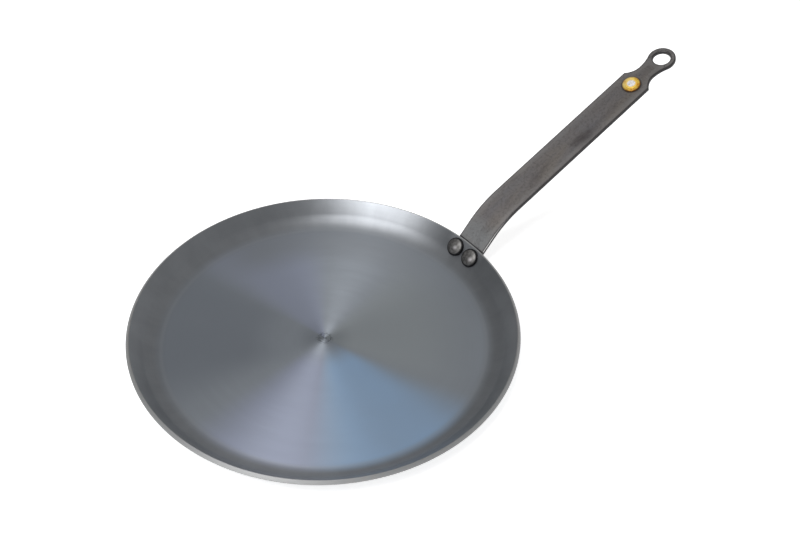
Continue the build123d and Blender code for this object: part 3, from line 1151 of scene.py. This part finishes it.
@dataclass
class Strap:
    """The handle: a bent flat strap with a neck and a hanging ring."""

    PLACE = "strap_place"
    EDGE = "strap_edge"

    wall_slope: float = degrees(47.0)
    grip_slope: float = degrees(21.5)
    bend_radius: float = 65.0 * MM
    bend_start: tuple[float, float] = (137.92 * MM, 23.7 * MM)
    thickness: float = 3.0 * MM
    merge: float = 0.002 * MM
    sliver: float = 0.0002 * MM
    net: float = 2.0 * MM
    side_lean: float = 0.3

    def place_on(self, point: Vector) -> tuple[float, float, float]:
        """Unbends a point of the strap.

        Args:
            point: The point.

        Returns:
            How far along the strap it lies, how far to the side, and how deep under the upper face.
        """
        offset_x = point.x - self.bend_start[0]
        offset_z = point.z - self.bend_start[1]
        up_wall = offset_x * math.cos(self.wall_slope) + offset_z * math.sin(self.wall_slope)
        off_wall = offset_z * math.cos(self.wall_slope) - offset_x * math.sin(self.wall_slope)
        if up_wall <= 0.0:
            return up_wall, point.y, -off_wall
        bend = self.wall_slope - self.grip_slope
        from_centre = self.bend_radius + off_wall
        turned = math.atan2(up_wall, from_centre)
        if turned <= bend:
            return self.bend_radius * turned, point.y, self.bend_radius - math.hypot(up_wall, from_centre)
        past = up_wall * math.cos(bend) - from_centre * math.sin(bend)
        height = up_wall * math.sin(bend) + from_centre * math.cos(bend)
        return self.bend_radius * bend + past, point.y, self.bend_radius - height

    def upward_at(self, run: float) -> Vector:
        """The direction straight up off the strap's upper face, a run along it."""
        bend = self.wall_slope - self.grip_slope
        slope = self.wall_slope - min(max(run / self.bend_radius, 0.0), bend)
        return Vector((-math.sin(slope), 0.0, math.cos(slope)))

    def slice_flats(self, mesh: bmesh.types.BMesh) -> None:
        """Slices the large faces into a fine net, without a change to the shape.

        Args:
            mesh: The strap.
        """
        low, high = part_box("handle")
        for axis in (0, 1):
            normal = Vector((1.0, 0.0, 0.0)) if axis == 0 else Vector((0.0, 1.0, 0.0))
            count = int((high[axis] - low[axis]) / self.net)
            for step in range(1, count):
                place = normal * (low[axis] + (high[axis] - low[axis]) * step / count)
                cut = [*mesh.verts, *mesh.edges, *mesh.faces]
                bmesh.ops.bisect_plane(mesh, geom=cut, dist=self.merge, plane_co=place, plane_no=normal)
        bmesh.ops.triangulate(mesh, faces=[face for face in mesh.faces if len(face.verts) > 4])
        bmesh.ops.dissolve_degenerate(mesh, edges=mesh.edges, dist=self.sliver)

    def side_walls(self, mesh: bmesh.types.BMesh) -> BVHTree:
        """Gathers the strap's cut sides, laid flat, for measuring how near they are.

        Args:
            mesh: The strap.

        Returns:
            The sides, as a search tree.
        """
        corners, faces = [], []
        for face in mesh.faces:
            middle = self.place_on(face.calc_center_median())
            if abs(face.normal.dot(self.upward_at(middle[0]))) < self.side_lean:
                faces.append(range(len(corners), len(corners) + len(face.verts)))
                corners += [self.place_on(vertex.co) for vertex in face.verts]
        return BVHTree.FromPolygons(corners, faces)

    def build(self, finish: RolledSkin) -> bpy.types.Object:
        """Copies the strap's solid, joins its faces, shades it smoothly and notes where each point lies.

        Args:
            finish: The strap's finish.

        Returns:
            The strap.
        """
        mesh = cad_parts["handle"].data.copy()
        mesh.name = "strap"
        merged = bmesh.new()
        merged.from_mesh(mesh)
        bmesh.ops.remove_doubles(merged, verts=merged.verts, dist=self.merge)
        for face in merged.faces:
            face.smooth = True
        for edge in merged.edges:
            edge.smooth = edge.calc_face_angle(math.pi) < SHARP_EDGE
        self.slice_flats(merged)
        merged.normal_update()
        sides = self.side_walls(merged)
        places, edges = [], []
        for vertex in merged.verts:
            place = self.place_on(vertex.co)
            nearest = sides.find_nearest(Vector((place[0], place[1], self.thickness / 2)))
            places.append(place)
            edges.append((nearest[3], abs(vertex.normal.dot(self.upward_at(place[0]))), 0.0))
        merged.to_mesh(mesh)
        merged.free()
        for name, values in ((self.PLACE, places), (self.EDGE, edges)):
            noted = mesh.attributes.new(name, "FLOAT_VECTOR", "POINT")
            for note, value in zip(noted.data, values):
                note.vector = value
        mesh.materials.clear()
        mesh.materials.append(finish.material())
        strap = add_object("strap", mesh)
        strap.modifiers.new("even_shading", "WEIGHTED_NORMAL").keep_sharp = True
        return strap


@dataclass
class Badge:
    """The round push-in badge near the handle's end, and the plain face set in it."""

    centre: tuple[float, float, float] = (280.263 * MM, 0.0, 86.579 * MM)
    slope: float = degrees(21.5)
    radius: float = 6.5 * MM
    height: float = 1.2 * MM
    rounding: float = 0.5 * MM
    rounding_steps: int = 8
    stem_radius: float = 3.4 * MM
    strap: float = 3.0 * MM
    lip_radius: float = 4.6 * MM
    lip_height: float = 1.2 * MM
    lip_rounding: float = 0.4 * MM
    lip_steps: int = 6
    seat_rounding: float = 0.15 * MM
    seat_steps: int = 4
    face_radius: float = 4.4 * MM
    face_depth: float = 0.7 * MM
    face_fit: float = 0.05 * MM
    face_dome: float = 0.5 * MM
    dome_steps: int = 12
    segments: int = 96

    def set_down(self, graph: ShapeGraph, corners: list[Corner]) -> bpy.types.NodeSocket:
        """Turns a section and puts it on the strap.

        Args:
            graph: The tree.
            corners: The section's corners.

        Returns:
            The mesh in its place.
        """
        turned = graph.smooth(graph.turn(graph.section(corners), self.segments))
        place = graph.named_input("place", self.centre, "NodeSocketVector")
        return graph.move(turned, place, graph.size("slope", self.slope))

    def build_plug(self, finish: Gilt) -> bpy.types.Object:
        """Makes the badge's head, stem and lip.

        Args:
            finish: The plating.

        Returns:
            The plug.
        """
        graph = ShapeGraph("badge_head")
        radius, height, rounding, stem, strap = graph.sizes_of(
            self, "radius", "height", "rounding", "stem_radius", "strap"
        )
        lip, lip_height, lip_rounding, face, seat = graph.sizes_of(
            self, "lip_radius", "lip_height", "lip_rounding", "face_radius", "face_depth"
        )
        lip_end = -strap - lip_height
        floor = height - seat
        corners = [
            Corner(0.0, lip_end),
            Corner(lip, lip_end, lip_rounding, self.lip_steps),
            Corner(lip, -strap),
            Corner(stem, -strap),
            Corner(stem, 0.0),
            Corner(radius, 0.0),
            Corner(radius, height, rounding, self.rounding_steps),
            Corner(face, height, self.seat_rounding, self.seat_steps),
            Corner(face, floor),
            Corner(0.0, floor),
        ]
        return graph.grow("badge_head", self.set_down(graph, corners), finish.material())

    def build_face(self, finish: Gilt) -> bpy.types.Object:
        """Makes the domed disc in the badge's face.

        Args:
            finish: The plating.

        Returns:
            The disc.
        """
        graph = ShapeGraph("badge_face")
        face, fit, seat, dome, height = graph.sizes_of(
            self, "face_radius", "face_fit", "face_depth", "face_dome", "height"
        )
        edge = face - fit
        corners = [Corner(0.0, height - seat), Corner(edge, height - seat)]
        for step in range(self.dome_steps + 1):
            turn = QUARTER_TURN * step / self.dome_steps
            corners.append(Corner(edge * math.cos(turn), height + dome * math.sin(turn)))
        return graph.grow("badge_face", self.set_down(graph, corners), finish.material())


@dataclass(frozen=True)
class Softbox:
    """A soft lamp with a flat rectangular front, which looks at the pan."""

    name: str
    azimuth: float
    elevation: float
    distance: float
    width: float
    height: float
    power: float

    def hang(self, aim: Vector) -> bpy.types.Object:
        """Hangs the lamp.

        Args:
            aim: The point that it looks at.

        Returns:
            The lamp.
        """
        lamp = bpy.data.lights.new(self.name, "AREA")
        lamp.shape = "RECTANGLE"
        lamp.size = self.width
        lamp.size_y = self.height
        lamp.energy = self.power
        hung = add_object(self.name, lamp)
        level = math.cos(self.elevation)
        ahead = level * math.cos(self.azimuth)
        aside = level * math.sin(self.azimuth)
        outward = Vector((ahead, aside, math.sin(self.elevation)))
        turned = outward.to_track_quat("Z", "Y").to_matrix().to_4x4()
        hung.matrix_world = Matrix.Translation(aim + outward * self.distance) @ turned
        return hung


KEY_LAMP = Softbox(
    name="key_lamp",
    azimuth=degrees(-172.8),
    elevation=degrees(62.9),
    distance=2.0,
    width=1.01,
    height=1.36,
    power=26.0,
)


@dataclass
class Studio:
    """The pale floor, the even surroundings and the lamp."""

    lamp: Softbox = KEY_LAMP
    white: Colour = (1.0, 1.0, 1.0, 1.0)
    floor_width: float = 40.0
    floor_colour: Colour = (0.85, 0.85, 0.85, 1.0)
    floor_roughness: float = 0.9
    floor_lift: float = 0.7
    floor_drop: float = 0.1 * MM
    sky: Ramp = Ramp(0.4, 0.98, 0.28, 0.4)
    slant: float = 0.154
    slant_toward: float = degrees(-8.0)
    band: Ramp = Ramp(0.2, 0.08)

    def lay_floor(self) -> None:
        """Lays the floor, which shows white, keeps the object's shadow and is clear from below."""
        mesh = bpy.data.meshes.new("floor")
        half = self.floor_width / 2
        outline = ((-half, -half), (half, -half), (half, half), (-half, half))
        mesh.from_pydata([(*corner, -self.floor_drop) for corner in outline], [], [(0, 1, 2, 3)])
        graph = FinishGraph("pale_floor")
        graph.shader.inputs["Base Color"].default_value = self.floor_colour
        graph.shader.inputs["Roughness"].default_value = self.floor_roughness
        graph.shader.inputs["Emission Color"].default_value = self.white
        graph.feed(graph.shader.inputs["Emission Strength"], graph.seen() * self.floor_lift)
        from_below = graph.node("ShaderNodeNewGeometry").outputs["Backfacing"]
        either = graph.node("ShaderNodeMixShader")
        graph.feed(either.inputs[0], from_below)
        graph.feed(either.inputs[1], graph.shader.outputs[0])
        graph.feed(either.inputs[2], graph.node("ShaderNodeBsdfTransparent").outputs[0])
        graph.feed(graph.tree.nodes["Material Output"].inputs["Surface"], either.outputs[0])
        mesh.materials.append(graph.material)
        add_object("floor", mesh)

    def paint_world(self) -> None:
        """Paints the surroundings: an even sky, brighter overhead and ahead, with a white band all round."""
        world = bpy.data.worlds.new("surroundings")
        bpy.context.scene.world = world
        world.use_nodes = True
        graph = Graph(world.node_tree)
        background = world.node_tree.nodes["Background"]
        background.inputs["Color"].default_value = self.white
        ahead, aside, rise = graph.parts(graph.node("ShaderNodeTexCoord").outputs["Generated"])
        toward = ahead * math.cos(self.slant_toward) + aside * math.sin(self.slant_toward)
        level = self.sky.of(rise) + toward * self.slant
        band = self.band.of(rise) * graph.seen()
        graph.feed(background.inputs["Strength"], level.apply("MAXIMUM", band))

    def build(self, aim: Vector) -> None:
        """Sets the whole studio up.

        Args:
            aim: The point that the lamp looks at.
        """
        self.lay_floor()
        self.paint_world()
        self.lamp.hang(aim)


@dataclass
class Viewpoint:
    """The photograph's camera."""

    aim: tuple[float, float, float] = (83.6 * MM, 22.75 * MM, 3.0 * MM)
    distance: float = 904.9 * MM
    azimuth: float = degrees(-40.38)
    elevation: float = degrees(43.35)
    roll: float = degrees(1.49)
    lens: float = 57.48
    sensor: float = 36.0

    def set_up(self) -> None:
        """Makes the camera and gives it to the scene."""
        level = math.cos(self.elevation)
        back = Vector(
            (math.sin(self.azimuth) * level, -math.cos(self.azimuth) * level, math.sin(self.elevation))
        )
        right = Vector((math.cos(self.azimuth), math.sin(self.azimuth), 0.0))
        up = back.cross(right)
        rolled_right = right * math.cos(self.roll) + up * math.sin(self.roll)
        rolled_up = up * math.cos(self.roll) - right * math.sin(self.roll)
        lens = bpy.data.cameras.new("camera")
        lens.lens = self.lens
        lens.sensor_width = self.sensor
        lens.clip_start = 10.0 * MM
        camera = add_object("camera", lens)
        turned = Matrix((rolled_right, rolled_up, back)).transposed().to_4x4()
        camera.matrix_world = Matrix.Translation(Vector(self.aim) + back * self.distance) @ turned
        bpy.context.scene.camera = camera


def declare(piece: bpy.types.Object, material_slot: str, *nodes: str) -> None:
    """Fixes a piece to the object's body, in place of its nodes.

    Args:
        piece: The piece.
        material_slot: The slot for its finish; not used.
        nodes: The nodes that it stands for.
    """
    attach(piece, BODY)
    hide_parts(*nodes)
    LOG.info("%s stands for %s: %d faces", piece.name, ", ".join(nodes), len(piece.data.polygons))


def main() -> None:
    """Builds the camera, the studio and the pan."""
    logging.basicConfig(level=logging.INFO, format="%(name)s: %(message)s")
    bpy.context.scene.view_settings.view_transform = "Standard"
    viewpoint = Viewpoint()
    viewpoint.set_up()
    Studio().build(Vector((0.0, 0.0, 0.0)))
    dish, rivets, strap, badge = Dish(), Rivets(), Strap(), Badge()
    declare(dish.build(rivets, TurnedSteel()), "pan_steel", "pan_body")
    declare(rivets.build(dish, HeadedSteel()), "rivet_steel", "rivet_left", "rivet_right")
    declare(strap.build(RolledSkin()), "strap_steel", "handle")
    declare(badge.build_plug(BadgeTone.GOLD.value), "badge_brass", "badge_plug")
    declare(badge.build_face(BadgeTone.PALE.value), "badge_face", "badge_inlay")


if __name__ == "__main__":
    main()
